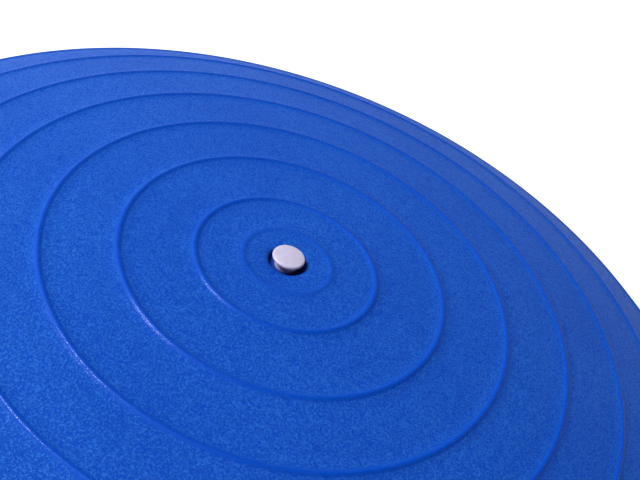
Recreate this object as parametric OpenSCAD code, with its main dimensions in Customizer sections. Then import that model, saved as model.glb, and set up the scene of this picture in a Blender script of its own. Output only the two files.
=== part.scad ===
// Balance dome trainer: an inflated ribbed half ball clamped to a round hard platform.
// Millimetres, +Z up. The origin is the middle of the floor plane that the feet stand on.

/* [Dome] */
// Widest radius of the inflated dome
dome_r = 285; // [276:1:288]
// Height of the crown above the widest level of the dome
dome_rise = 119; // [105:1:160]
// Thickness of the moulded dome skin
skin_t = 3; // [2.9:0.1:4]
// Distance from the crown to the first grip rib, along the skin
rib_start = 43.5; // [38:0.5:46]
// Distance from one grip rib to the next, along the skin
rib_pitch = 34.7; // [28:0.1:35]
// Number of grip ribs round the dome
rib_count = 9; // [5:1:9]
// Height of a grip rib above the skin
rib_h = 0.8; // [0.4:0.1:1.2]

/* [Valve and plug] */
// Radius of the valve bore that the plug stem fills
bore_r = 4.6; // [4:0.1:5]
// Radius of the well in the skin round the plug
well_r = 8.6; // [8.4:0.1:9.4]
// Radius of the round plug head
plug_head_r = 7.8; // [6.5:0.1:8]
// Thickness of the plug head
plug_head_t = 2.2; // [2.2:0.1:4]
// Length of the plug stem below its stop collar
stem_len = 24; // [18:0.5:28]

/* [Platform] */
// Outside radius of the platform
platform_r = 305; // [302:1:315]
// Height of the flat standing face of the tray above the floor
foot_proud = 4; // [3:0.5:6]
// Wall and floor thickness of the tray
tray_t = 4; // [3:0.5:5]
// Number of screws that clamp the rim ring, a multiple of four
rim_screw_count = 12; // [8:4:16]
// Number of screws that tie the deck to the middle of the tray
deck_screw_count = 6; // [4:1:8]
// Radius of a rubber foot
foot_r = 17; // [14:0.5:18]
// Half the width of each hand hold
hold_half_w = 56; // [50:1:60]

/* [Hidden] */
$fn = 96;
gap = 0.1;                           // assembly clearance between fitted parts
over = 1;                            // how far a cutter runs past what it cuts
root = 0.5;                          // how deep a rib or boss is rooted in its wall
foot_count = 8;

// Heights of the stack, from the floor up
tray_z = foot_proud;                 // flat standing face of the tray
tray_in_z = tray_z + tray_t;         // inside face of the tray floor
deck_z = 30;                         // underside of the deck
deck_t = 5;
deck_top = deck_z + deck_t;
bead_h = 7.8;                        // height of the bead round the bladder's foot
lip_z = deck_top + bead_h + 2 * gap; // underside of the clamp ring's lip
lip_t = 7;
ring_top = lip_z + lip_t;
bulge = 12;                          // overhang of the dome past its waist
bulge_lift = 0.3;                    // clearance between the dome's bulge and the clamp ring
widest_z = ring_top + bulge + bulge_lift;
crown_z = widest_z + dome_rise;

// Radii of the stack
neck_r = dome_r - bulge;             // waist of the bladder inside the clamp ring's lip
bead_r = neck_r + 9;
skirt_t = 4;
skirt_r = platform_r - skirt_t;      // inside of the clamp ring's skirt
skirt_z = 20;                        // lower edge of the skirt
tray_r = skirt_r - 0.5;
rim_screw_r = (bead_r + skirt_r) / 2 - 2;
deck_screw_r = 120;
post_joint_z = tray_in_z + 14;       // where a tray post meets the deck post above it
foot_ring_r = tray_r - 41;
edge_round = 6;                      // rounding of the platform's outer edges
lip_round = 2.5;                     // rounding of the ring's edge beside the dome
bead_chamfer = 1.5;

// Hoop moulded into the bladder's bead, so that the bead cannot pull out from under the lip
hoop_r = bead_r - 4;
hoop_wire_r = 1.6;
hoop_z = deck_top + gap + hoop_wire_r + gap;

// Standing mat let into the underside of the tray
mat_in_r = 138;
mat_out_r = 224;
mat_t = 2.2;
mat_proud = 1;                       // how far the mat stands below the tray
groove_r = 1;
groove_pitch = 8;

// Hand holds
hold_in_r = 258;                     // inner face of each hand hold
hold_wall = 3.5;
hold_play = 2;                       // how much wider the opening is in the ring than in the tray

// Fasteners
shank_r = 1.9;
hole_r = 2.2;
pilot_r = 1.95;
head_r = 4;
head_t = 2.8;
sink_r = 4.6;
slot_w = 1;                          // cross recess in a screw head
slot_len = 4.4;
slot_deep = 1.5;
tip_r = 0.6;
tip_len = 2;
rim_screw_len = 34;
deck_screw_len = 20;
tray_post_r = 7;
deck_post_r = 6;

// Valve
seat_flange_r = 20;
seat_flange_t = 2.4;
seat_tube_r = 8.2;
seat_fillet = 5;
seat_len = 27;
seat_mark_h = 0.3;                   // height of the seat's outline in the skin above it
collar_r = 5.5;                      // stop collar of the plug, which sits on the seat
collar_t = 1.5;
stalk_r = 4.7;                       // stalk of the plug between its collar and its head
head_lift = 0.9;                     // gap between the crown and the underside of the plug head

// Height of an ellipse of half axes a and b, centred at the widest level
function oval_z(r, a, b) = widest_z + b * sqrt(1 - pow(r / a, 2));

// Points on that ellipse from radius r_from outwards to its widest point
function oval_points(a, b, r_from, n) =
    let (t0 = asin(r_from / a))
    [for (i = [0 : n]) let (t = t0 + (90 - t0) * i / n) [a * sin(t), widest_z + b * cos(t)]];

// Points of a circular arc
function arc_points(c, r, from, to, n) =
    [for (i = [0 : n]) let (t = from + (to - from) * i / n) c + r * [cos(t), sin(t)]];

// Distance along the skin from the crown, against the angle of the ellipse
arc_steps = 180;
function skin_step(i) =
    let (t = 90 * (i + 0.5) / arc_steps, d = PI / 2 / arc_steps)
    d * sqrt(pow(dome_r * cos(t), 2) + pow(dome_rise * sin(t), 2));
skin_table = [for (i = 0, s = 0; i <= arc_steps; s = s + skin_step(i), i = i + 1) [s, 90 * i / arc_steps]];
function skin_angle(s) = lookup(s, skin_table);

pad_r = seat_flange_r + 1;           // flat pad inside the crown, which the valve seat is welded to
pad_z = oval_z(pad_r, dome_r - skin_t, dome_rise - skin_t);
seat_top = pad_z - gap;

// ---------- dome ----------

module bladder_outside() {
    polygon(concat(
        [[0, deck_top + gap], [0, crown_z]],
        oval_points(dome_r, dome_rise, 8, 44),
        arc_points([neck_r, widest_z], bulge, -10, -90, 8),
        [[neck_r, lip_z - gap], [bead_r - bead_chamfer, lip_z - gap], [bead_r, lip_z - gap - bead_chamfer],
         [bead_r, deck_top + gap]]));
}

module bladder_air_space() {
    in_r = dome_r - skin_t;
    floor_z = deck_top + gap + skin_t;
    polygon(concat(
        [[0, floor_z], [0, pad_z], [pad_r, pad_z]],
        oval_points(in_r, dome_rise - skin_t, pad_r, 44),
        arc_points([neck_r, widest_z], bulge - skin_t, -10, -80, 6),
        [[neck_r - skin_t, ring_top - 1], [neck_r - skin_t, floor_z]]));
}

// Round bead that stands proud of the skin by h, a distance s along it from the crown
module skin_bead(s, h) {
    bead_section_r = 1.8;
    t = skin_angle(s);
    n = [dome_rise * sin(t), dome_r * cos(t)];
    centre = [dome_r * sin(t), widest_z + dome_rise * cos(t)] - (bead_section_r - h) / norm(n) * n;
    rotate_extrude($fn = 180) translate(centre) circle(r = bead_section_r, $fn = 32);
}

module dome_bladder() {
    color("#1d55c4") difference() {
        union() {
            rotate_extrude($fn = 180) difference() {
                bladder_outside();
                bladder_air_space();
            }
            for (k = [0 : rib_count - 1]) skin_bead(rib_start + rib_pitch * k, rib_h);
            skin_bead(pad_r + seat_mark_h, seat_mark_h);
        }
        ring_band(hoop_r - hoop_wire_r - gap, hoop_r + hoop_wire_r + gap, deck_top, hoop_z + hoop_wire_r + gap);
        translate([0, 0, pad_z - over]) cylinder(r = well_r, h = crown_z - pad_z + 2 * over);
    }
}

module bead_hoop() {
    color("silver") rotate_extrude($fn = 180) translate([hoop_r, hoop_z]) circle(r = hoop_wire_r, $fn = 24);
}

module valve_seat() {
    color("#1a4bb0") difference() {
        union() {
            translate([0, 0, seat_top - seat_flange_t]) cylinder(r = seat_flange_r, h = seat_flange_t);
            translate([0, 0, seat_top - seat_len]) cylinder(r = seat_tube_r, h = seat_len);
            translate([0, 0, seat_top - seat_flange_t - seat_fillet])
                cylinder(r1 = seat_tube_r, r2 = seat_tube_r + seat_fillet, h = seat_fillet);
        }
        translate([0, 0, seat_top - seat_len - over]) cylinder(r = bore_r, h = seat_len + 2 * over);
    }
}

module air_plug() {
    slip = gap / 2;
    stop_z = seat_top + slip;
    head_z = crown_z + head_lift;
    top_z = head_z + plug_head_t;
    tip_z = stop_z - stem_len;
    barb_r = bore_r - slip;
    core_r = bore_r - 0.6;
    hollow_r = 2.2;
    hollow_z = tip_z + stem_len * 0.6;
    lead_in = 1.5;
    barb_pitch = 4.5;
    barb_h = 1.2;
    barb_count = 4;
    under_round = 0.8;
    top_round = 1;
    crowning = 0.1;
    color("#e6e2ea") rotate_extrude() polygon(concat(
        [[0, hollow_z], [hollow_r, hollow_z], [hollow_r, tip_z - lead_in]],
        [[core_r - lead_in + 0.2, tip_z - lead_in], [core_r, tip_z]],
        [for (k = [barb_count - 1 : -1 : 0]) let (z = stop_z - barb_pitch * (k + 1))
            each [[core_r, z - barb_h], [barb_r, z], [barb_r, z + barb_h], [core_r, z + barb_h]]],
        [[core_r, stop_z], [collar_r, stop_z], [collar_r, stop_z + collar_t], [stalk_r, stop_z + collar_t],
         [stalk_r, head_z]],
        arc_points([plug_head_r - under_round, head_z + under_round], under_round, -90, 0, 5),
        arc_points([plug_head_r - top_round, top_z - top_round - 3 * crowning], top_round, 0, 70, 5),
        [[plug_head_r * 0.55, top_z - crowning], [0, top_z]]));
}

// ---------- platform ----------

// Places its children at equal steps round a circle
module ring_of(count, radius, start = 0) {
    for (i = [0 : count - 1]) rotate([0, 0, start + 360 * i / count]) translate([radius, 0, 0]) children();
}

// Flat ring from radius r0 to r1 and from height z0 to z1
module ring_band(r0, r1, z0, z1) {
    translate([0, 0, z0]) difference() {
        cylinder(r = r1, h = z1 - z0, $fn = 180);
        translate([0, 0, -over]) cylinder(r = r0, h = z1 - z0 + 2 * over, $fn = 180);
    }
}

// Solid region of both hand holds, grown by g, from z0 to z1
module hold_block(g, z0, z1) {
    reach = platform_r + over - hold_in_r + g;
    for (side = [-1, 1]) translate([side < 0 ? -platform_r - over : hold_in_r - g, -hold_half_w - g, z0])
        cube([reach, 2 * (hold_half_w + g), z1 - z0]);
}

// What a rounding of radius r takes off an outline's corner at [x, z]; up is 1 for an upper corner, -1 for a
// lower one
module corner_waste(x, z, r, up) {
    difference() {
        translate([x - r, up > 0 ? z - r : z - over]) square([r + over, r + over]);
        translate([x - r, z - up * r]) circle(r = r);
    }
}

module tray_outline() {
    difference() {
        translate([0, tray_z]) square([tray_r, deck_z - tray_z]);
        corner_waste(tray_r, tray_z, edge_round, -1);
    }
}

module tray_shell() {
    rotate_extrude($fn = 180) difference() {
        tray_outline();
        translate([0, tray_in_z]) square([tray_r - tray_t, deck_z]);
    }
}

module tray_ribs() {
    ring_radii = [70, 170, 225];
    rib_t = 2.4;
    root_z = tray_in_z - root;
    ring_rib_top = deck_z - gap;
    radial_rib_top = deck_z - 2;
    radial_rib_end = foot_ring_r - foot_r - 2;
    for (r = ring_radii) ring_band(r - rib_t / 2, r + rib_t / 2, root_z, ring_rib_top);
    for (i = [0 : 11]) rotate([0, 0, 15 + 30 * i]) translate([ring_radii[0], -rib_t / 2, root_z])
        cube([radial_rib_end - ring_radii[0], rib_t, radial_rib_top - root_z]);
}

module tray() {
    root_z = tray_in_z - root;
    boss_top = deck_z - 2 * gap;
    rim_boss_r = tray_r - rim_screw_r - 2;
    foot_boss_wall = 4;
    foot_boss_top = tray_in_z + 3;
    color("#1c1d20") difference() {
        union() {
            difference() {
                tray_shell();
                hold_block(0, 0, deck_z + over);
            }
            tray_ribs();
            intersection() {
                rotate_extrude($fn = 180) tray_outline();
                difference() {
                    hold_block(hold_wall, tray_z, deck_z - gap);
                    hold_block(0, 0, deck_z + over);
                }
            }
            ring_of(rim_screw_count, rim_screw_r, 180 / rim_screw_count)
                translate([0, 0, root_z]) cylinder(r = rim_boss_r, h = boss_top - root_z);
            ring_of(deck_screw_count, deck_screw_r)
                translate([0, 0, root_z]) cylinder(r = tray_post_r, h = post_joint_z - root_z);
            ring_of(foot_count, foot_ring_r, 180 / foot_count)
                translate([0, 0, root_z]) cylinder(r = foot_r + foot_boss_wall, h = foot_boss_top - root_z);
        }
        ring_of(rim_screw_count, rim_screw_r, 180 / rim_screw_count) screw_way();
        ring_of(deck_screw_count, deck_screw_r) screw_way();
        ring_of(foot_count, foot_ring_r, 180 / foot_count)
            translate([0, 0, tray_z - over]) cylinder(r = foot_r + gap, h = tray_t + over);
        ring_band(mat_in_r - gap, mat_out_r + gap, tray_z - over, tray_z - mat_proud + mat_t);
    }
}

module standing_mat() {
    mat_z = tray_z - mat_proud;
    color("#2e3036") rotate_extrude($fn = 180) difference() {
        translate([mat_in_r, mat_z]) square([mat_out_r - mat_in_r, mat_t - gap]);
        for (r = [mat_in_r + groove_pitch : groove_pitch : mat_out_r - groove_pitch / 2])
            translate([r, mat_z]) circle(r = groove_r, $fn = 24);
    }
}

// Counterbore and clearance hole for a screw driven up from the standing face
module screw_way() {
    translate([0, 0, tray_z - over]) cylinder(r = sink_r, h = over + tray_t);
    translate([0, 0, tray_z]) cylinder(r = hole_r, h = deck_z);
}

module deck() {
    post_foot_z = post_joint_z + gap;
    pilot_top = deck_z + 2;
    color("#26272b") difference() {
        union() {
            translate([0, 0, deck_z]) cylinder(r = tray_r, h = deck_t, $fn = 180);
            ring_of(deck_screw_count, deck_screw_r)
                translate([0, 0, post_foot_z]) cylinder(r = deck_post_r, h = deck_z + root - post_foot_z);
        }
        ring_of(deck_screw_count, deck_screw_r)
            translate([0, 0, post_foot_z - over]) cylinder(r = pilot_r, h = pilot_top - post_foot_z + over);
        ring_of(rim_screw_count, rim_screw_r, 180 / rim_screw_count)
            translate([0, 0, deck_z - over]) cylinder(r = hole_r, h = deck_t + 2 * over);
    }
}

module clamp_ring() {
    lip_r = neck_r + 2 * gap;
    seat_r = bead_r + 2 * gap;
    pilot_top = lip_z + 2;
    color("#3a3c42") difference() {
        rotate_extrude($fn = 180) difference() {
            polygon([[lip_r, lip_z], [seat_r, lip_z], [seat_r, deck_top], [skirt_r, deck_top],
                     [skirt_r, skirt_z], [platform_r - 1, skirt_z], [platform_r, skirt_z + 1],
                     [platform_r, ring_top], [lip_r, ring_top]]);
            corner_waste(platform_r, ring_top, edge_round, 1);
            mirror([1, 0]) corner_waste(-lip_r, ring_top, lip_round, 1);
        }
        ring_of(rim_screw_count, rim_screw_r, 180 / rim_screw_count)
            translate([0, 0, deck_top - over]) cylinder(r = pilot_r, h = pilot_top - deck_top + over);
        hold_block(hold_play, 0, deck_z);
    }
}

// Soft finger pad on the ceiling of a hand hold, with ridges between the fingers
module grip_pad(side) {
    pad_t = 3;
    edge = 3;
    pad_in = hold_in_r + edge + 1;
    pad_len = tray_r - edge - pad_in;
    pad_w = 2 * hold_half_w - 10;
    pad_z = deck_z - gap - pad_t;
    ridge_r = 2.2;
    ridge_count = 5;
    ridge_pitch = pad_w / ridge_count;
    color("#5b5e66") rotate([0, 0, side < 0 ? 180 : 0]) intersection() {
        union() {
            translate([pad_in, -pad_w / 2, pad_z]) cube([pad_len, pad_w, pad_t]);
            for (i = [0 : ridge_count - 1])
                translate([pad_in, (i - (ridge_count - 1) / 2) * ridge_pitch, pad_z])
                    rotate([0, 90, 0]) cylinder(r = ridge_r, h = pad_len, $fn = 32);
        }
        cylinder(r = tray_r - edge, h = deck_z - gap, $fn = 180);
    }
}

// ---------- fasteners and feet ----------

// Screw of length len under its head, point up
module screw(len) {
    head_z = tray_in_z - head_t;
    shank_z = tray_in_z - gap;
    difference() {
        union() {
            translate([0, 0, head_z]) cylinder(r = head_r, h = head_t);
            translate([0, 0, shank_z]) cylinder(r = shank_r, h = len);
            translate([0, 0, shank_z + len]) cylinder(r1 = shank_r, r2 = tip_r, h = tip_len);
        }
        for (a = [0, 90]) rotate([0, 0, a]) translate([-slot_len / 2, -slot_w / 2, head_z - over])
            cube([slot_len, slot_w, slot_deep + over]);
    }
}

module rim_screws() {
    color("silver") ring_of(rim_screw_count, rim_screw_r, 180 / rim_screw_count) screw(rim_screw_len);
}

module deck_screws() {
    color("silver") ring_of(deck_screw_count, deck_screw_r) screw(deck_screw_len);
}

// Rubber foot number i, with a shallow cup in the middle of its sole
module foot(i) {
    cup_deep = 0.8;
    sole_round = 2;
    color("#101114") rotate([0, 0, 180 / foot_count + 360 * (i - 1) / foot_count])
        translate([foot_ring_r, 0, 0]) rotate_extrude() polygon(concat(
            [[0, cup_deep], [foot_r * 0.45, cup_deep], [foot_r * 0.5, 0]],
            arc_points([foot_r - sole_round, sole_round], sole_round, -90, 0, 4),
            [[foot_r, tray_in_z], [0, tray_in_z]]));
}

dome_bladder();
bead_hoop();
valve_seat();
air_plug();
clamp_ring();
deck();
tray();
standing_mat();
grip_pad(-1);  // grip_left
grip_pad(1);  // grip_right
rim_screws();
deck_screws();
for (i = [1 : foot_count]) foot(i);
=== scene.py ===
"""Balance dome trainer: the inflated ribbed dome, its air plug, the round platform and a plain studio."""

import math

import bpy
from mathutils import Matrix, Vector


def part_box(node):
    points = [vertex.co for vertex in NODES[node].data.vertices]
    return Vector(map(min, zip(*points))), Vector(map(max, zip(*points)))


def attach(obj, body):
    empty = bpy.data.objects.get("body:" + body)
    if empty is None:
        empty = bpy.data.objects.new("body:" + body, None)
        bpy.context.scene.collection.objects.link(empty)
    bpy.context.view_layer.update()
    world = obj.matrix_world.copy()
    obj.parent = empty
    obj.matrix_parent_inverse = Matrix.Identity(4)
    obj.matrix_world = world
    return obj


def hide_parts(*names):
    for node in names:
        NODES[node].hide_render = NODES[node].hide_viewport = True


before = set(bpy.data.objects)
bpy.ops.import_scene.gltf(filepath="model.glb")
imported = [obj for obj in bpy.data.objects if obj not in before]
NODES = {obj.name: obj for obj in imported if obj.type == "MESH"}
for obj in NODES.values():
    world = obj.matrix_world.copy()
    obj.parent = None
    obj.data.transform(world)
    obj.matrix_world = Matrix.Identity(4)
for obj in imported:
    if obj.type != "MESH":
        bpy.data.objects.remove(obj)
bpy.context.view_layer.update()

bl_info = {
    "name": "Balance Dome Trainer",
    "version": (1, 0, 0),
    "blender": (4, 5, 0),
    "location": "3D View > Sidebar > Trainer",
    "description": "Builds an inflated balance dome on its round platform",
    "category": "Add Mesh",
}

MM = 0.001


def span(node):
    """Lowest and highest corner of a CAD node, in metres."""
    low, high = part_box(node)
    return Vector(low), Vector(high)


# ---------- sizes read from the frame ----------

RING_LOW, RING_HIGH = span("clamp_ring")
DECK_LOW, DECK_HIGH = span("deck")
RING_TOP = RING_HIGH.z
DECK_TOP = DECK_HIGH.z
PLATFORM_R = RING_HIGH.x
SEAT_TOP = span("valve_seat")[1].z
PLUG_TOP = span("air_plug")[1].z
CROWN_Z = span("dome_bladder")[1].z


# ---------- settings a user may change ----------


class DomeSettings(bpy.types.PropertyGroup):
    """Sizes and colours of the inflated dome."""

    radius: bpy.props.FloatProperty(
        name="Radius", description="Widest radius of the dome", default=0.285, unit="LENGTH")
    bulge: bpy.props.FloatProperty(
        name="Bulge", description="Overhang of the dome past its waist", default=0.012, unit="LENGTH")
    skin: bpy.props.FloatProperty(
        name="Skin", description="Thickness of the dome's wall", default=0.003, unit="LENGTH")
    first_rib: bpy.props.FloatProperty(
        name="First rib", description="Distance along the skin from the crown to the first grip rib",
        default=0.0435, unit="LENGTH")
    rib_pitch: bpy.props.FloatProperty(
        name="Rib pitch", description="Distance along the skin between grip ribs",
        default=0.0347, unit="LENGTH")
    rib_count: bpy.props.IntProperty(name="Ribs", description="Number of grip ribs", default=9, min=1, max=9)
    rib_height: bpy.props.FloatProperty(
        name="Rib height", description="How far a grip rib stands out of the skin",
        default=0.0009, unit="LENGTH")
    rib_half_width: bpy.props.FloatProperty(
        name="Rib half width", description="Half the width of a grip rib at its foot",
        default=0.0021, unit="LENGTH")
    seam_radius: bpy.props.FloatProperty(
        name="Seat outline", description="Radius of the faint edge of the valve seat under the skin",
        default=0.0213, unit="LENGTH")
    dimple: bpy.props.FloatProperty(
        name="Dimple", description="How far the skin is drawn down round the plug",
        default=0.0010, unit="LENGTH")
    well_radius: bpy.props.FloatProperty(
        name="Well radius", description="Radius of the hole in the skin round the plug",
        default=0.0086, unit="LENGTH")
    colour: bpy.props.FloatVectorProperty(
        name="Colour", description="Colour of the dome", subtype="COLOR", size=3,
        default=(0.001, 0.054, 0.38))
    # The speck colour is paler and whiter than the dome: the grain's own tone plus painted sheen on the
    # pebble tops.
    speck_sheen_colour: bpy.props.FloatVectorProperty(
        name="Speck colour", description="Colour of the pale tops of the grain", subtype="COLOR", size=3,
        default=(0.021, 0.126, 0.48))
    rib_colour: bpy.props.FloatVectorProperty(
        name="Rib colour", description="Colour of the smooth ribs", subtype="COLOR", size=3,
        default=(0.0, 0.056, 0.36))
    grain: bpy.props.FloatProperty(
        name="Grain size", description="Spacing of the pebbles of the skin's grain",
        default=0.0010, unit="LENGTH")


class PlugSettings(bpy.types.PropertyGroup):
    """Sizes and colour of the air plug."""

    head_radius: bpy.props.FloatProperty(
        name="Head radius", description="Radius of the plug's head", default=0.0078, unit="LENGTH")
    head_thickness: bpy.props.FloatProperty(
        name="Head thickness", description="Thickness of the plug's head", default=0.0022, unit="LENGTH")
    bore_radius: bpy.props.FloatProperty(
        name="Bore radius", description="Radius of the valve bore", default=0.0046, unit="LENGTH")
    stem_length: bpy.props.FloatProperty(
        name="Stem length", description="Length of the stem below the stop collar",
        default=0.024, unit="LENGTH")
    colour: bpy.props.FloatVectorProperty(
        name="Colour", description="Colour of the plug", subtype="COLOR", size=3,
        default=(0.42, 0.395, 0.52))


class PlatformSettings(bpy.types.PropertyGroup):
    """Sizes and colours of the platform."""

    edge_radius: bpy.props.FloatProperty(
        name="Edge radius", description="Radius of the ring's outer edge", default=0.006, unit="LENGTH")
    hold_width: bpy.props.FloatProperty(
        name="Hold width", description="Width of each hand hold's opening in the ring", default=0.116,
        unit="LENGTH")
    ring_colour: bpy.props.FloatVectorProperty(
        name="Ring colour", description="Colour of the rim ring", subtype="COLOR", size=3,
        default=(0.030, 0.032, 0.037))
    tray_colour: bpy.props.FloatVectorProperty(
        name="Tray colour", description="Colour of the tray and the deck", subtype="COLOR", size=3,
        default=(0.018, 0.019, 0.022))
    rubber_colour: bpy.props.FloatVectorProperty(
        name="Rubber colour", description="Colour of the grips and the mat", subtype="COLOR", size=3,
        default=(0.055, 0.058, 0.066))


class StageSettings(bpy.types.PropertyGroup):
    """The camera, the floor and the lights."""

    distance: bpy.props.FloatProperty(
        name="Distance", description="Camera to the crown of the dome", default=0.5464, unit="LENGTH")
    elevation: bpy.props.FloatProperty(
        name="Elevation", description="Height of the camera above the crown's level, as an angle",
        default=math.radians(40.87), subtype="ANGLE")
    roll: bpy.props.FloatProperty(
        name="Roll", description="Turn of the camera about its own line of sight",
        default=math.radians(21.7), subtype="ANGLE")
    aim: bpy.props.FloatVectorProperty(
        name="Aim", description="Point the camera looks at, from the crown", size=2, subtype="TRANSLATION",
        default=(0.0110, 0.0220))
    lens: bpy.props.FloatProperty(name="Lens", description="Focal length in millimetres", default=66.4)
    floor_colour: bpy.props.FloatVectorProperty(
        name="Floor", description="Colour of the floor", subtype="COLOR", size=3, default=(0.92, 0.92, 0.93))
    key: bpy.props.FloatProperty(name="Key", description="Strength of the main light", default=4.7, min=0)
    key_elevation: bpy.props.FloatProperty(
        name="Key height", description="Height of the main light, as an angle",
        default=math.radians(50), subtype="ANGLE")
    key_azimuth: bpy.props.FloatProperty(
        name="Key bearing", description="Bearing of the main light, from +X towards +Y",
        default=math.radians(188), subtype="ANGLE")
    key_softness: bpy.props.FloatProperty(
        name="Key softness", description="How wide the main light is, as an angle",
        default=math.radians(24), subtype="ANGLE")
    sky: bpy.props.FloatProperty(
        name="Sky", description="Brightness of the surround overhead", default=0.07, min=0)
    horizon: bpy.props.FloatProperty(
        name="Horizon", description="Brightness of the surround at the horizon", default=0.9, min=0)


GROUPS = {
    "trainer_dome": DomeSettings,
    "trainer_plug": PlugSettings,
    "trainer_platform": PlatformSettings,
    "trainer_stage": StageSettings,
}


# ---------- shader expressions ----------


class Value:
    """A shader socket that takes part in arithmetic."""

    def __init__(self, board, socket):
        self.board = board
        self.socket = socket

    def maths(self, operation, *others):
        """This value and others put through a Math node."""
        return self.board.add("ShaderNodeMath", {"operation": operation}, dict(enumerate((self, *others))))

    def __add__(self, other):
        return self.maths("ADD", other)

    def __sub__(self, other):
        return self.maths("SUBTRACT", other)

    def __rsub__(self, other):
        return self.board.add("ShaderNodeMath", {"operation": "SUBTRACT"}, {0: other, 1: self})

    def __mul__(self, other):
        return self.maths("MULTIPLY", other)

    __radd__ = __add__
    __rmul__ = __mul__

    def clamped(self):
        """This value held between 0 and 1."""
        return self.board.add("ShaderNodeClamp", {}, {0: self, 1: 0.0, 2: 1.0})

    def between(self, low, high, to_low=0.0, to_high=1.0):
        """This value eased from to_low at low to to_high at high."""
        sockets = {0: self, 1: low, 2: high, 3: to_low, 4: to_high}
        return self.board.add("ShaderNodeMapRange", {"interpolation_type": "SMOOTHSTEP"}, sockets)


class Board:
    """One node tree under construction."""

    def __init__(self, tree):
        self.tree = tree
        self.tree.nodes.clear()

    def add(self, kind, settings=None, inputs=None, output=0):
        """Adds a node, makes its settings, fills its sockets and gives one of its outputs."""
        node = self.tree.nodes.new(kind)
        for key, setting in (settings or {}).items():
            setattr(node, key, setting)
        for key, value in (inputs or {}).items():
            if isinstance(value, Value):
                self.tree.links.new(value.socket, node.inputs[key])
            else:
                node.inputs[key].default_value = value
        return None if output is None else Value(self, node.outputs[output])

    def place(self, scale=1000.0, stretch=(1, 1, 1)):
        """Object coordinates, in millimetres by default."""
        sockets = {"Vector": self.add("ShaderNodeTexCoord", output="Object")}
        sockets["Scale"] = [scale * share for share in stretch]
        return self.add("ShaderNodeMapping", {}, sockets)

    def noise(self, place, scale, detail=2.0, roughness=0.5):
        """Cloudy noise, scale to a unit of the place."""
        sockets = {"Vector": place, "Scale": scale, "Detail": detail, "Roughness": roughness}
        return self.add("ShaderNodeTexNoise", {}, sockets, "Fac")

    def cells(self, place, scale):
        """Distance to the nearest of scattered points."""
        return self.add("ShaderNodeTexVoronoi", {}, {"Vector": place, "Scale": scale}, "Distance")

    def attribute(self, name):
        """A number stored at the piece's vertices."""
        return self.add("ShaderNodeAttribute", {"attribute_name": name}, output="Fac")

    def mix(self, share, first, second):
        """A colour between two colours."""
        first, second = ((*c, 1.0) if isinstance(c, tuple) else c for c in (first, second))
        return self.add("ShaderNodeMix", {"data_type": "RGBA"}, {0: share, 6: first, 7: second}, 2)

    def bump(self, height, distance, strength):
        """A surface raised by height times distance, in metres."""
        return self.add("ShaderNodeBump", {}, {"Height": height, "Distance": distance, "Strength": strength})


class Finish(Board):
    """One material under construction; its constants are set on the surface's own sockets."""

    def __init__(self, name, **constants):
        self.material = bpy.data.materials.new(name)
        self.material.use_nodes = True
        super().__init__(self.material.node_tree)
        self.surface = self.tree.nodes.new("ShaderNodeBsdfPrincipled")
        output = self.tree.nodes.new("ShaderNodeOutputMaterial")
        self.tree.links.new(self.surface.outputs[0], output.inputs[0])
        for socket, value in constants.items():
            self.surface.inputs[socket.replace("_", " ")].default_value = value

    def feed(self, **wires):
        """Links values into the surface's sockets."""
        for socket, value in wires.items():
            self.tree.links.new(value.socket, self.surface.inputs[socket.replace("_", " ")])
        return self.material


def shade(colour, factor):
    """A colour made lighter or darker."""
    return tuple(min(1.0, c * factor) for c in colour)


# ---------- finishes ----------


def skin_finish(colour, speck_sheen_colour, rib_colour, grain):
    """Matte moulded vinyl: fine pebble grain on the skin whose pale tops are partly painted sheen, smooth
    glossier ribs.
    """
    board = Finish("dome_skin", IOR=1.5, Specular_IOR_Level=0.09, Coat_Roughness=0.18)
    place = board.place()
    rib = board.attribute("rib")
    bare = 1 - rib
    per_mm = MM / grain
    pebble = board.noise(place, per_mm, detail=3.0, roughness=0.75)
    crumb = board.noise(place, 3.0 * per_mm, detail=2.0, roughness=0.6)
    clump = board.noise(place, 0.22 * per_mm, detail=2.0, roughness=0.55)
    wide = board.noise(place, 0.012, detail=3.0, roughness=0.5)
    top = (pebble * 0.7 + crumb * 0.3).between(0.42, 0.57)
    speck = (top * 0.85 + clump * 0.5 - 0.17).clamped()
    # Pale grain tops: partly the grain's own tone, partly painted sheen standing in for light glinting off
    # the pebbles.
    ground = board.mix(speck, colour, speck_sheen_colour)
    ribbed = board.mix(rib * 0.95, ground, rib_colour)
    tinted = board.mix(wide.between(0.35, 0.7) * 0.2, ribbed, shade(colour, 0.88))
    grained_rough, rib_rough = top * -0.1 + 0.62, 0.4
    rough = grained_rough * bare + rib * rib_rough
    rib_spark = crumb.between(0.5, 0.64) * rib * 0.5
    spark = rib_spark + pebble.between(0.58, 0.72) * bare * 0.03
    bump = board.bump(top * 0.7 * bare + crumb * 0.3, distance=0.00034, strength=0.75)
    return board.feed(Base_Color=tinted, Roughness=rough, Coat_Weight=spark, Normal=bump)


def plug_finish(colour):
    """Semi-soft off-white plastic."""
    board = Finish("plug_plastic", IOR=1.47, Subsurface_Weight=0.12, Subsurface_Scale=0.003)
    place = board.place()
    cloud = board.noise(place, 0.35, detail=3.0, roughness=0.6)
    speck = board.noise(place, 3.2, detail=2.0, roughness=0.6)
    tone = board.mix(cloud.between(0.3, 0.75), shade(colour, 0.95), shade(colour, 1.05))
    dust = board.mix(speck.between(0.62, 0.8) * 0.25, tone, shade(colour, 0.7))
    rough = speck * 0.18 + 0.28
    bump = board.bump(speck * 0.6 + cloud * 0.8, distance=0.00012, strength=0.6)
    return board.feed(Base_Color=dust, Roughness=rough, Normal=bump)


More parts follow.
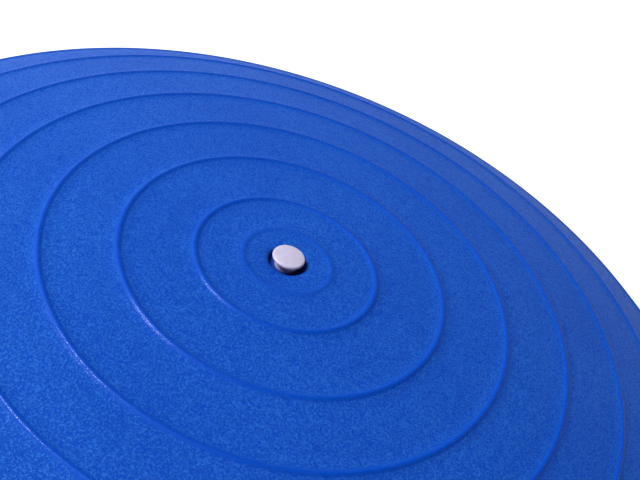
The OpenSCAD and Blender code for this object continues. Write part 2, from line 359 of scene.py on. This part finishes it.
def hard_finish(name, colour):
    """Textured hard plastic, with a spark-eroded mould grain and faint handling marks."""
    grain_per_mm = 0.9
    board = Finish(name, IOR=1.49, Specular_IOR_Level=0.45)
    place = board.place()
    pits = board.cells(place, grain_per_mm)
    fine = board.noise(place, grain_per_mm * 2.6, detail=2.0, roughness=0.6)
    patch = board.noise(place, 0.02, detail=4.0, roughness=0.6)
    scuff = board.noise(board.place(stretch=(0.06, 1.4, 1.0)), 0.12, detail=3.0, roughness=0.7)
    marks = scuff.between(0.6, 0.72) * patch.between(0.45, 0.65)
    tone = board.mix(fine.between(0.35, 0.65) * 0.6 + patch * 0.4, shade(colour, 0.6), shade(colour, 1.6))
    worn = board.mix(marks * 0.4, tone, shade(colour, 2.8))
    rough = fine * 0.16 + patch * 0.12 + 0.42
    bump = board.bump(pits * 0.6 + fine * 0.4, distance=0.0003, strength=0.7)
    return board.feed(Base_Color=worn, Roughness=rough, Normal=bump)


def rubber_finish(name, colour):
    """Soft rubber with a fine matte bloom and a little dust."""
    board = Finish(name, IOR=1.5, Specular_IOR_Level=0.35)
    place = board.place()
    fine = board.noise(place, 2.2, detail=3.0, roughness=0.6)
    bloom = board.noise(place, 0.05, detail=4.0, roughness=0.6)
    tone = board.mix(fine * 0.4 + bloom * 0.6, shade(colour, 0.75), shade(colour, 1.5))
    rough = fine * 0.15 + bloom * 0.14 + 0.62
    bump = board.bump(fine, distance=0.00014, strength=0.8)
    return board.feed(Base_Color=tone, Roughness=rough, Normal=bump)


def steel_finish(name):
    """Zinc-plated steel, brushed and slightly blotched."""
    dull, bright = (0.50, 0.49, 0.46), (0.66, 0.66, 0.66)
    board = Finish(name, Metallic=1.0)
    place = board.place()
    brush = board.noise(board.place(stretch=(1, 1, 0.15)), 3.0, detail=3.0, roughness=0.6)
    blotch = board.noise(place, 0.3, detail=3.0, roughness=0.6)
    tone = board.mix(blotch.between(0.35, 0.7), dull, bright)
    rough = brush * 0.22 + blotch * 0.15 + 0.18
    bump = board.bump(brush, distance=0.00008, strength=0.6)
    return board.feed(Base_Color=tone, Roughness=rough, Normal=bump)


def floor_finish(colour):
    """Plain pale floor, faintly clouded."""
    board = Finish("floor", Specular_IOR_Level=0.2)
    cloud = board.noise(board.place(scale=1.0), 0.6)
    tone = board.mix(cloud * 0.3, tuple(colour), shade(colour, 0.985))
    return board.feed(Base_Color=tone, Roughness=cloud * 0.1 + 0.6)


# ---------- outlines ----------


def arc(centre, radius, start, end, steps):
    """Points of an arc in the (radius, height) plane, with angles in degrees."""
    angles = (math.radians(start + (end - start) * i / steps) for i in range(steps + 1))
    return [(centre[0] + radius * math.cos(a), centre[1] + radius * math.sin(a)) for a in angles]


class Curve:
    """The dome's oval section, walked by distance along the skin from the crown."""

    def __init__(self, radius, rise, level):
        steps = 2000
        self.radius, self.rise, self.level = radius, rise, level
        self.table = [(0.0, 0.0)]
        for i in range(steps):
            angle = math.pi / 2 * (i + 0.5) / steps
            step = math.hypot(radius * math.cos(angle), rise * math.sin(angle)) * math.pi / 2 / steps
            self.table.append((self.table[-1][0] + step, math.pi / 2 * (i + 1) / steps))
        self.length = self.table[-1][0]

    def angle(self, walked):
        """The section's own angle after a walk of that length."""
        share = min(max(walked, 0.0), self.length)
        low, high = 0, len(self.table) - 1
        while high - low > 1:
            middle = (low + high) // 2
            low, high = (middle, high) if self.table[middle][0] <= share else (low, middle)
        (s0, a0), (s1, a1) = self.table[low], self.table[high]
        return a0 + (a1 - a0) * (share - s0) / (s1 - s0)

    def point(self, walked, proud=0.0):
        """A point on the section, moved out of the skin by proud."""
        angle = self.angle(walked)
        normal = Vector((self.rise * math.sin(angle), self.radius * math.cos(angle))).normalized()
        return (self.radius * math.sin(angle) + proud * normal.x,
                self.level + self.rise * math.cos(angle) + proud * normal.y)


def hump(distance, half_width):
    """Rounded bump: 1 at the middle, 0 from half_width outwards, flat at both."""
    share = min(abs(distance) / half_width, 1.0)
    return (1 - share * share) ** 2 * (1 + 0.6 * share * share)


# ---------- modelling ----------


MERGE_GAP = 2e-6  # points nearer than this become one


def deselect_all():
    bpy.ops.object.select_all(action="DESELECT")


def pick(piece):
    """Makes a piece the only one that the next operator acts on."""
    deselect_all()
    bpy.context.view_layer.objects.active = piece
    piece.select_set(True)


def revolve(name, outline, steps):
    """Spins an outline of (radius, height) points about Z into a closed, outward-facing piece."""
    deselect_all()
    bpy.ops.mesh.primitive_plane_add(size=MM, location=(0, 0, 0))
    piece = bpy.context.active_object
    piece.name = piece.data.name = name
    bpy.ops.object.mode_set(mode="EDIT")
    bpy.ops.mesh.select_all(action="SELECT")
    bpy.ops.mesh.merge(type="CENTER")
    bpy.ops.transform.translate(value=(outline[0][0], 0, outline[0][1]))
    for (r0, z0), (r1, z1) in zip(outline, outline[1:]):
        bpy.ops.mesh.extrude_vertices_move(TRANSFORM_OT_translate={"value": (r1 - r0, 0, z1 - z0)})
    bpy.ops.mesh.select_all(action="SELECT")
    bpy.ops.mesh.spin(steps=steps, angle=2 * math.pi, center=(0, 0, 0), axis=(0, 0, 1))
    bpy.ops.mesh.select_all(action="SELECT")
    bpy.ops.mesh.remove_doubles(threshold=MERGE_GAP)
    bpy.ops.mesh.normals_make_consistent(inside=False)
    bpy.ops.object.mode_set(mode="OBJECT")
    return piece


def apply_modifier(piece, kind, **settings):
    pick(piece)
    modifier = piece.modifiers.new(kind.title(), kind)
    for key, value in settings.items():
        setattr(modifier, key, value)
    bpy.ops.object.modifier_apply(modifier=modifier.name)


def smooth(piece, angle):
    """Shades a piece smooth, but for edges sharper than angle, in degrees."""
    pick(piece)
    bpy.ops.object.shade_smooth_by_angle(angle=math.radians(angle), keep_sharp_edges=False)


def finish_piece(piece, material, body, slot, *nodes):
    """Gives a piece its material and its body, and hides the CAD nodes it stands for; the slot argument is
    not used.
    """
    piece.data.materials.clear()
    piece.data.materials.append(material)
    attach(piece, body)
    if nodes:
        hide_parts(*nodes)


def repaint(material, *names):
    """Gives CAD nodes that stay a finished material."""
    for name in names:
        for holder in NODES[name].material_slots:
            holder.material = material


def stamp(piece, name, value_of):
    """Stores a number at every vertex, worked out from its place."""
    layer = piece.data.attributes.new(name, "FLOAT", "POINT")
    layer.data.foreach_set("value", [value_of(v.co) for v in piece.data.vertices])


# ---------- operators ----------


class TRAINER_OT_dome(bpy.types.Operator):
    """Blow up the ribbed dome"""

    bl_idname = "trainer.dome"
    bl_label = "Dome"

    SEAM_HALF_WIDTH = 0.0022
    SEAM_HEIGHT = 0.0005
    DIMPLE_REACH = 0.003  # how far the dimple runs past the seat's outline
    WELL_ROUND = 0.0016  # rounding of the skin's edge at the well
    LIFT = 0.0003  # gap between the bulge and the rim ring
    BEAD_HEIGHT = 0.0079
    BEAD_WIDTH = 0.009
    BEAD_CHAMFER = 0.0015
    FLANGE_RADIUS = 0.0215  # where the wall's inner face meets the valve seat
    FIT = 0.0001  # gap to the deck and to the valve seat

    def outside(self, s, curve):
        """The skin's outer face from the well to the widest level, and how far down it each rib lies."""
        ribs = [s.first_rib + s.rib_pitch * k for k in range(s.rib_count)]
        stops = {s.well_radius + self.WELL_ROUND, 0.0125, 0.0145, 0.0165, 0.0185}
        stops |= {s.seam_radius + self.SEAM_HALF_WIDTH * i / 3 for i in range(-3, 4)}
        for rib in ribs:
            stops |= {rib + s.rib_half_width * i / 4 for i in range(-4, 5)}
        edges = [s.seam_radius + self.SEAM_HALF_WIDTH, *ribs, curve.length]
        for low, high in zip(edges, edges[1:]):
            stops |= {low + (high - low) * i / 5 for i in range(1, 5)}
        outline = []
        for stop in sorted(x for x in stops if x < curve.length):
            proud = s.rib_height * max(hump(stop - rib, s.rib_half_width) for rib in ribs)
            proud += self.SEAM_HEIGHT * hump(stop - s.seam_radius, self.SEAM_HALF_WIDTH)
            proud -= s.dimple * hump(stop, s.seam_radius + self.DIMPLE_REACH) ** 1.5
            outline.append(curve.point(stop, proud))
        return outline, ribs

    def execute(self, context):
        s = context.scene.trainer_dome
        level = RING_TOP + s.bulge + self.LIFT
        curve = Curve(s.radius, CROWN_Z - level, level)
        skin, ribs = self.outside(s, curve)
        waist = s.radius - s.bulge
        top = skin[0][1]
        lip = DECK_TOP + self.BEAD_HEIGHT
        floor = DECK_TOP + self.FIT
        under = SEAT_TOP + self.FIT
        inner = Curve(s.radius - s.skin, CROWN_Z - s.skin - level, level)
        bead = waist + self.BEAD_WIDTH
        outline = [
            (0, floor + s.skin), (waist - s.skin, floor + s.skin), (waist - s.skin, RING_TOP - 0.001),
            *arc((waist, level), s.bulge - s.skin, -80, 0, 6),
            *[inner.point(inner.length * (1 - i / 24)) for i in range(1, 23)],
            (self.FLANGE_RADIUS, under), (s.well_radius, under),
            (s.well_radius, top - self.WELL_ROUND), (s.well_radius + 0.0004, top - 0.0005),
            *skin,
            *arc((waist, level), s.bulge, 0, -90, 12),
            (waist, lip), (bead - self.BEAD_CHAMFER, lip), (bead, lip - self.BEAD_CHAMFER),
            (bead, floor), (0, floor),
        ]
        piece = revolve("dome_skin", outline, 360)
        seam_strength = 0.6
        places = [(curve.point(rib), 1.0) for rib in ribs] + [(curve.point(s.seam_radius), seam_strength)]
        reach = s.rib_half_width

        def rib_strength(co):
            """How much of a smooth rib a point of the skin is, from 0 to 1."""
            here = (math.hypot(co.x, co.y), co.z)
            return max(strength * hump(math.dist(here, place), reach) ** 0.5 for place, strength in places)

        stamp(piece, "rib", rib_strength)
        smooth(piece, 50)
        skin = skin_finish(tuple(s.colour), tuple(s.speck_sheen_colour), tuple(s.rib_colour), s.grain)
        finish_piece(piece, skin, "trainer", "dome_skin", "dome_bladder")
        return {"FINISHED"}


class TRAINER_OT_plug(bpy.types.Operator):
    """Turn the air plug"""

    bl_idname = "trainer.plug"
    bl_label = "Air plug"

    FIT = 0.00005  # gap to the valve seat
    HOLLOW_RADIUS = 0.0022  # blind hole up the stem from its tip
    HOLLOW_END = 0.0144
    TAPER = 0.0013  # the tip's lead-in, inwards and down
    TAPER_LENGTH = 0.0015
    BARBS = 4
    BARB_PITCH = 0.0045
    BARB_HEIGHT = 0.0012
    BARB_DEPTH = 0.0006
    COLLAR_RADIUS = 0.0055
    COLLAR_HEIGHT = 0.0015
    STALK_RADIUS = 0.0047
    EDGE = 0.0010  # rounding of the head's upper edge
    UNDER_EDGE = 0.0007
    CROWN = 0.0004  # how far the head's edge lies below its middle

    def stem(self, s, stop, core):
        """The outline of the stem, from the end of its blind hole to the stop collar's underside."""
        tip = stop - s.stem_length
        end = tip - self.TAPER_LENGTH
        barb = s.bore_radius - self.FIT
        outline = [(0, tip + self.HOLLOW_END), (self.HOLLOW_RADIUS, tip + self.HOLLOW_END),
                   (self.HOLLOW_RADIUS, end), (core - self.TAPER, end), (core, tip)]
        for k in reversed(range(self.BARBS)):
            z = stop - self.BARB_PITCH * (k + 1)
            above = z + self.BARB_HEIGHT
            outline += [(core, z - self.BARB_HEIGHT), (barb, z), (barb, above), (core, above)]
        return outline

    def execute(self, context):
        s = context.scene.trainer_plug
        top = PLUG_TOP
        under = top - s.head_thickness
        stop = SEAT_TOP + self.FIT
        core = s.bore_radius - self.BARB_DEPTH
        collar, stalk, edge, under_edge = self.COLLAR_RADIUS, self.STALK_RADIUS, self.EDGE, self.UNDER_EDGE
        outline = self.stem(s, stop, core)
        outline += [(core, stop), (collar, stop), (collar, stop + self.COLLAR_HEIGHT), (stalk, stop + 0.0018),
                    (stalk, under - 0.0004), (stalk + 0.0005, under)]
        outline += arc((s.head_radius - under_edge, under + under_edge), under_edge, -90, 0, 5)
        outline += arc((s.head_radius - edge, top - edge - self.CROWN), edge, 5, 78, 8)
        outline += [(s.head_radius * 0.6, top - 0.00022), (s.head_radius * 0.3, top - 0.00006), (0, top)]
        piece = revolve("plug", outline, 96)
        smooth(piece, 50)
        finish_piece(piece, plug_finish(tuple(s.colour)), "plug", "plug_plastic", "air_plug")
        return {"FINISHED"}


class TRAINER_OT_ring(bpy.types.Operator):
    """Mould the rim ring that clamps the dome"""

    bl_idname = "trainer.ring"
    bl_label = "Rim ring"

    SKIRT = 0.004  # thickness of the skirt
    LIP_PLAY = 0.0002  # gap between the lip and the dome's waist
    BEAD_ROOM = 0.0092  # from the dome's waist to the seat of its bead
    LIP_HEIGHT = 0.008  # underside of the lip above the deck
    LIP_ROUND = 0.0025
    FOOT_ROUND = 0.0012
    GROOVE_DEPTH = 0.0005
    GROOVE_STEPS = (0.008, 0.0083, 0.0091, 0.0094)  # edges of the groove above the skirt's foot
    HOLD_INNER = 0.256  # where the cut for a hand hold begins, from the middle
    HOLD_OUTER = 0.005  # how far the cut runs past the ring
    HOLD_ROUND = 0.004

    def cut_hold(self, piece, side, width, ceiling):
        """Cuts the opening of one hand hold through the ring's skirt, with its upper corners rounded."""
        inner = self.HOLD_INNER
        depth = PLATFORM_R + self.HOLD_OUTER - inner
        deselect_all()
        bpy.ops.mesh.primitive_cube_add(size=1, location=(side * (inner + depth / 2), 0, ceiling / 2),
                                        scale=(depth, width, ceiling))
        cutter = bpy.context.active_object
        bpy.ops.object.transform_apply(location=True, rotation=True, scale=True)
        bpy.ops.object.mode_set(mode="EDIT")
        bpy.ops.mesh.select_mode(type="EDGE")
        bpy.ops.mesh.select_all(action="DESELECT")
        bpy.ops.object.mode_set(mode="OBJECT")
        points = cutter.data.vertices
        for edge in cutter.data.edges:
            a, b = (points[v].co for v in edge.vertices)
            edge.select = abs(a.x - b.x) > depth / 2 and a.z > ceiling / 2
        bpy.ops.object.mode_set(mode="EDIT")
        bpy.ops.mesh.bevel(offset=self.HOLD_ROUND, segments=5, affect="EDGES")
        bpy.ops.object.mode_set(mode="OBJECT")
        apply_modifier(piece, "BOOLEAN", operation="DIFFERENCE", object=cutter, solver="EXACT")
        bpy.data.objects.remove(cutter)

    def execute(self, context):
        s = context.scene.trainer_platform
        dome = context.scene.trainer_dome
        outer = PLATFORM_R
        inside = outer - self.SKIRT
        lip_r = dome.radius - dome.bulge + self.LIP_PLAY
        bead_r = dome.radius - dome.bulge + self.BEAD_ROOM
        lip = DECK_TOP + self.LIP_HEIGHT
        low = RING_LOW.z
        deep = outer - self.GROOVE_DEPTH
        groove = [(r, low + z) for r, z in zip((outer, deep, deep, outer), self.GROOVE_STEPS)]
        foot, edge, rim = self.FOOT_ROUND, s.edge_radius, self.LIP_ROUND
        outline = [
            (lip_r, lip), (bead_r, lip), (bead_r, DECK_TOP), (inside, DECK_TOP), (inside, low),
            *arc((outer - foot, low + foot), foot, -90, 0, 5),
            *groove,
            *arc((outer - edge, RING_TOP - edge), edge, 0, 90, 14),
            *arc((lip_r + rim, RING_TOP - rim), rim, 90, 180, 8),
            (lip_r, lip),
        ]
        piece = revolve("rim_ring", outline, 288)
        for side in (-1, 1):
            self.cut_hold(piece, side, s.hold_width, DECK_LOW.z)
        smooth(piece, 40)
        plastic = hard_finish("rim_plastic", tuple(s.ring_colour))
        finish_piece(piece, plastic, "trainer", "rim_plastic", "clamp_ring")
        return {"FINISHED"}


class TRAINER_OT_platform(bpy.types.Operator):
    """Finish the platform's remaining pieces"""

    bl_idname = "trainer.platform"
    bl_label = "Platform"

    FOOT_COLOUR = (0.012, 0.012, 0.014)
    SEAT_TONE = 0.55  # colour of the valve seat, as a share of the dome's

    def execute(self, context):
        s = context.scene.trainer_platform
        feet = [name for name in NODES if name.startswith("foot_")]
        repaint(hard_finish("tray_plastic", tuple(s.tray_colour)), "tray", "deck")
        rubber = rubber_finish("grip_rubber", tuple(s.rubber_colour))
        repaint(rubber, "grip_left", "grip_right", "standing_mat")
        repaint(rubber_finish("foot_rubber", self.FOOT_COLOUR), *feet)
        repaint(steel_finish("screw_steel"), "rim_screws", "deck_screws", "bead_hoop")
        seat_colour = shade(context.scene.trainer_dome.colour, self.SEAT_TONE)
        repaint(rubber_finish("valve_boot", seat_colour), "valve_seat")
        return {"FINISHED"}


class TRAINER_OT_stage(bpy.types.Operator):
    """Set the floor, the lights and the camera"""

    bl_idname = "trainer.stage"
    bl_label = "Stage"

    FLOOR_SIZE = 30
    FLOOR_DROP = 0.0002  # the floor lies this far below the soles
    SENSOR_WIDTH = 36

    def key_light(self, strength, elevation, azimuth, softness):
        """A broad distant lamp that lights the dome and the floor evenly."""
        data = bpy.data.lights.new("key", "SUN")
        data.energy = strength
        data.angle = softness
        lamp = bpy.data.objects.new("key", data)
        level = math.cos(elevation)
        back = Vector((level * math.cos(azimuth), level * math.sin(azimuth), math.sin(elevation)))
        lamp.location = back * 3
        lamp.rotation_euler = back.to_track_quat("Z", "Y").to_euler()
        bpy.context.collection.objects.link(lamp)

    def surround(self, top, horizon):
        """A plain white surround, dim overhead and bright from the horizon down."""
        world = bpy.data.worlds.new("surround")
        world.use_nodes = True
        board = Board(world.node_tree)
        direction = board.add("ShaderNodeTexCoord", output="Generated")
        height = board.add("ShaderNodeSeparateXYZ", {}, {"Vector": direction}, "Z")
        glow = height.between(0.05, 0.5, horizon, top)
        light = board.add("ShaderNodeBackground", {}, {"Color": (1, 1, 1, 1), "Strength": glow})
        board.add("ShaderNodeOutputWorld", {}, {"Surface": light}, None)
        bpy.context.scene.world = world

    def execute(self, context):
        s = context.scene.trainer_stage
        deselect_all()
        bpy.ops.mesh.primitive_plane_add(size=self.FLOOR_SIZE, location=(0, 0, -self.FLOOR_DROP))
        floor = context.active_object
        floor.name = "floor"
        floor.data.materials.append(floor_finish(tuple(s.floor_colour)))
        crown = Vector((0, 0, CROWN_Z))
        self.key_light(s.key, s.key_elevation, s.key_azimuth, s.key_softness)
        self.surround(s.sky, s.horizon)
        context.scene.view_settings.view_transform = "Standard"
        context.scene.view_settings.look = "Medium High Contrast"
        data = bpy.data.cameras.new("camera")
        data.lens = s.lens
        data.sensor_width = self.SENSOR_WIDTH
        data.clip_start, data.clip_end = 0.01, 60
        camera = bpy.data.objects.new("camera", data)
        context.collection.objects.link(camera)
        back = Vector((0, -math.cos(s.elevation), math.sin(s.elevation)))
        camera.location = crown + back * s.distance
        sight = crown + Vector((s.aim[0], s.aim[1], 0)) - camera.location
        turn = sight.to_track_quat("-Z", "Y").to_matrix() @ Matrix.Rotation(s.roll, 3, "Z")
        camera.rotation_euler = turn.to_euler()
        context.scene.camera = camera
        return {"FINISHED"}


OPERATORS = (TRAINER_OT_stage, TRAINER_OT_dome, TRAINER_OT_plug, TRAINER_OT_ring, TRAINER_OT_platform)


class TRAINER_PT_panel(bpy.types.Panel):
    """Lists the trainer's pieces"""

    bl_label = "Balance dome trainer"
    bl_idname = "TRAINER_PT_panel"
    bl_space_type = "VIEW_3D"
    bl_region_type = "UI"
    bl_category = "Trainer"

    def draw(self, context):
        for operator in OPERATORS:
            self.layout.operator(operator.bl_idname)
        for group, settings in GROUPS.items():
            box = self.layout.box()
            for name in settings.__annotations__:
                box.prop(getattr(context.scene, group), name)


CLASSES = (*GROUPS.values(), *OPERATORS, TRAINER_PT_panel)


def register():
    for cls in CLASSES:
        bpy.utils.register_class(cls)
    for name, settings in GROUPS.items():
        setattr(bpy.types.Scene, name, bpy.props.PointerProperty(type=settings))


def unregister():
    for name in GROUPS:
        delattr(bpy.types.Scene, name)
    for cls in reversed(CLASSES):
        bpy.utils.unregister_class(cls)


def main():
    register()
    bpy.ops.trainer.stage()
    bpy.ops.trainer.dome()
    bpy.ops.trainer.plug()
    bpy.ops.trainer.ring()
    bpy.ops.trainer.platform()


if __name__ == "__main__":
    main()
